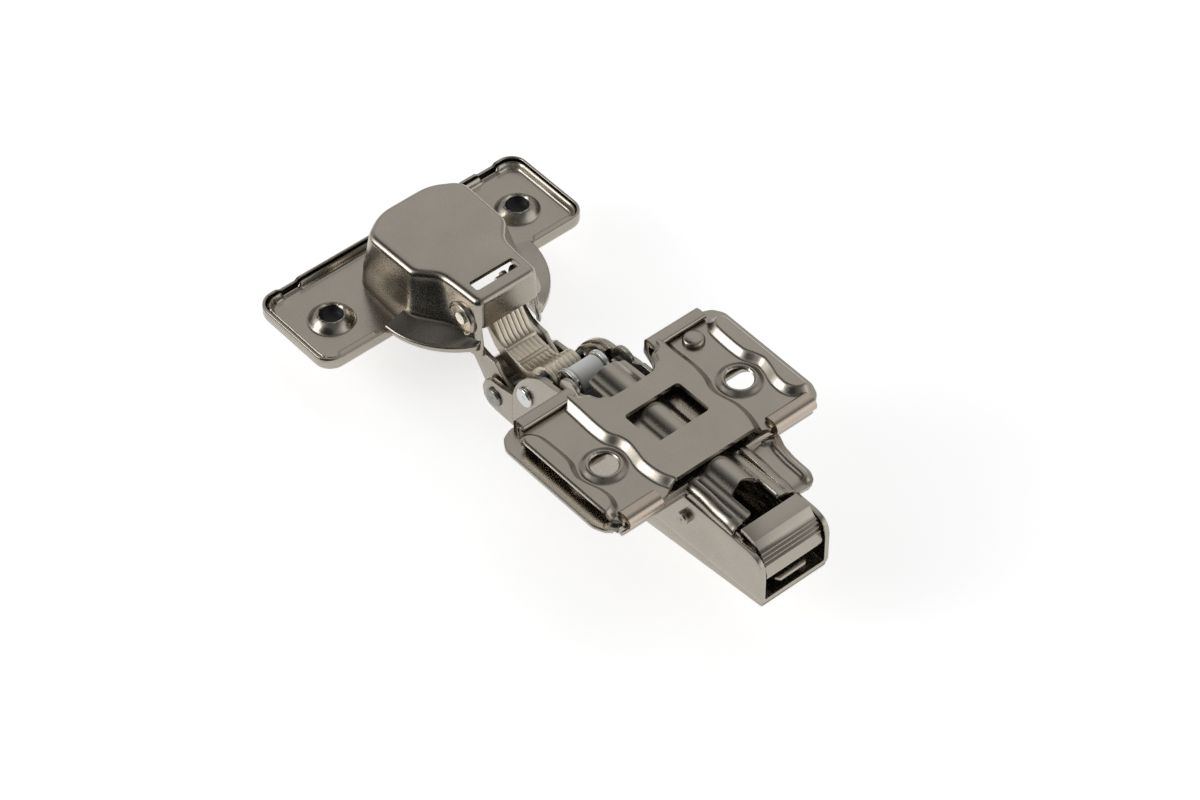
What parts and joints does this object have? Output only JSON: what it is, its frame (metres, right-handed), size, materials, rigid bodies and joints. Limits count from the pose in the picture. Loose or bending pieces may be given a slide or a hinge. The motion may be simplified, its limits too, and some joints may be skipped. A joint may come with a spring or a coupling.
{
  "type": "concealed cabinet hinge",
  "caption": "Clip-on concealed cabinet hinge with a cranked arm, folding links, a winged cup and an adjustable mounting plate, opened to a right angle.",
  "frame": {"origin": "midway between the two plate screw holes, on the face that meets the cabinet side", "axes": "+X along the arm to its rear end, +Y along the plate's screw line, +Z into the cabinet side"},
  "size_m": [0.1151, 0.063, 0.0253],
  "materials": {
    "nickel": "satin nickel plate on pressed steel",
    "link_steel": "nickel plate on stamped steel",
    "zinc": "bright zinc plate",
    "burnished": "dark oiled steel",
    "white_plastic": "moulded white acetal",
    "dark_plastic": "moulded black nylon"
  },
  "bodies": {
    "base": {"base_plate": "nickel"},
    "height_cam": {"height_cam": "zinc"},
    "carriage": {"carriage_plate": "nickel", "adapter_frame": "nickel", "clip_stubs": "zinc", "lever_pin": "zinc", "lever_spring": "burnished", "latch_tongue": "nickel"},
    "lever": {"release_lever": "nickel"},
    "arm": {"arm_channel": "nickel", "front_bracket": "nickel", "arm_cover": "nickel", "lower_pivot_pin": "zinc", "upper_pivot_pin": "zinc", "roller_slider": "dark_plastic", "damper_cylinder": "dark_plastic", "damper_rod": "burnished", "damper_seat": "dark_plastic", "closing_spring": "burnished", "roller_axle": "zinc", "roller_rings": "zinc"},
    "roller": {"roller": "white_plastic"},
    "depth_cam": {"depth_cam": "zinc"},
    "side_screw": {"side_screw": "zinc"},
    "inner_link": {"inner_link": "link_steel", "link_rivet": "burnished"},
    "outer_link": {"outer_link": "nickel", "outer_link_pin": "zinc"},
    "cup": {"cup": "nickel", "wing_cover": "nickel", "cup_pin": "zinc"}
  },
  "joints": [
    {"name": "height_adjust", "type": "slide", "parent": "base", "child": "carriage", "axis": [0, 1, 0], "range_m": [-0.002, 0.002]},
    {"name": "height_turn", "type": "hinge", "parent": "base", "child": "height_cam", "pos_m": [-0.0128, 0.0164, -0.002], "axis": [0, 0, 1], "range_deg": [-66, 66]},
    {"name": "depth_adjust", "type": "slide", "parent": "carriage", "child": "arm", "axis": [1, 0, 0], "range_m": [-0.0015, 0.0015]},
    {"name": "depth_turn", "type": "hinge", "parent": "arm", "child": "depth_cam", "pos_m": [0.017, 0, -0.016], "axis": [0, 0, 1], "range_deg": [-66, 66]},
    {"name": "side_turn", "type": "hinge", "parent": "arm", "child": "side_screw", "pos_m": [0.01, 0, -0.016], "axis": [0, 0, 1], "continuous": true},
    {"name": "roller_turn", "type": "hinge", "parent": "arm", "child": "roller", "pos_m": [-0.0238, 0, -0.0083], "axis": [0, 1, 0], "continuous": true},
    {"name": "lever_press", "type": "hinge", "parent": "carriage", "child": "lever", "pos_m": [0.0256, 0, -0.0093], "axis": [0, 1, 0], "range_deg": [0, 8], "stiffness_Nm_per_rad": 0.05, "springref_deg": -5.73},
    {"name": "inner_turn", "type": "hinge", "parent": "arm", "child": "inner_link", "pos_m": [-0.0314, 0, -0.0145], "axis": [0, 1, 0], "range_deg": [-0.5, 31.5]},
    {"name": "outer_turn", "type": "hinge", "parent": "arm", "child": "outer_link", "pos_m": [-0.0405, 0, -0.0218], "axis": [0, 1, 0], "range_deg": [-0.5, 40.5]},
    {"name": "door_fold", "type": "hinge", "parent": "inner_link", "child": "cup", "pos_m": [-0.0497, 0, -0.008], "axis": [0, 1, 0], "range_deg": [-120.96, 0]}
  ],
  "couplings": [
    {"joint": "height_turn", "follows": "height_adjust", "rad_per_m": 523.6},
    {"joint": "depth_turn", "follows": "depth_adjust", "rad_per_m": 698.13},
    {"joint": "inner_turn", "follows": "door_fold", "ratio": -0.25595},
    {"joint": "outer_turn", "follows": "door_fold", "ratio": -0.32738}
  ]
}
